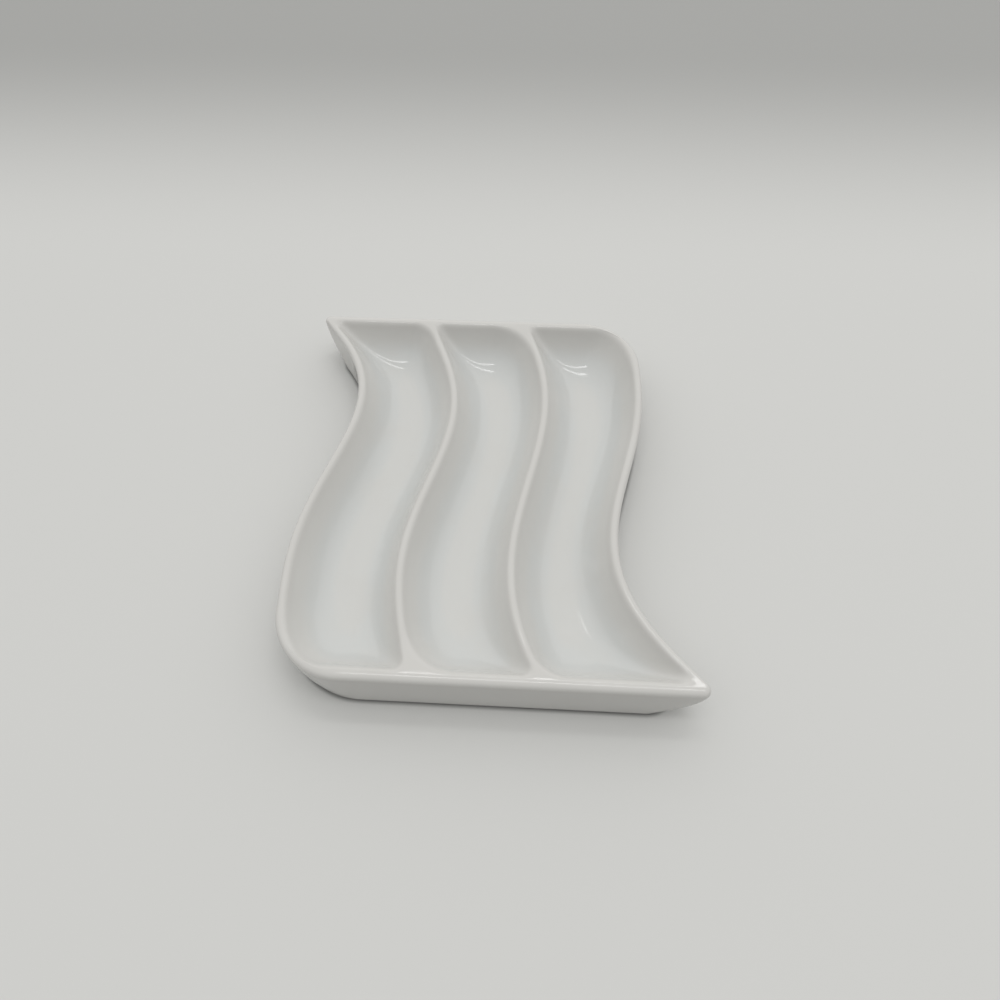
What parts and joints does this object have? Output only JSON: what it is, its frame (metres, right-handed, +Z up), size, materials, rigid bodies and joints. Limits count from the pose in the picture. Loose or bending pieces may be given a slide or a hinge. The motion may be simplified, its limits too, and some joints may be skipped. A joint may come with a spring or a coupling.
{
  "type": "three-trough olive dish",
  "caption": "Low glazed porcelain serving dish with side-by-side S-shaped troughs, thin rounded dividers, straight ends, pointed tips and a bare foot ring.",
  "frame": {"origin": "centre of the dish's outline, on the table plane that the foot ring rests on", "axes": "+Z up out of the troughs, +Y along the troughs towards the edge that is far in the picture, +X across the troughs to the right"},
  "size_m": [0.2028, 0.225, 0.026],
  "materials": {
    "bare_porcelain": "fired unglazed porcelain, matt and fine-grained, seen only on the foot ring",
    "white_glaze": "white glossy glaze, slightly wavy and a little thinner on the ridges",
    "underside_glaze": "white glossy glaze on the flat underside"
  },
  "bodies": {
    "root": {"porcelain_body": "bare_porcelain", "outer_glaze": "white_glaze", "underside_glaze": "underside_glaze"}
  },
  "joints": []
}
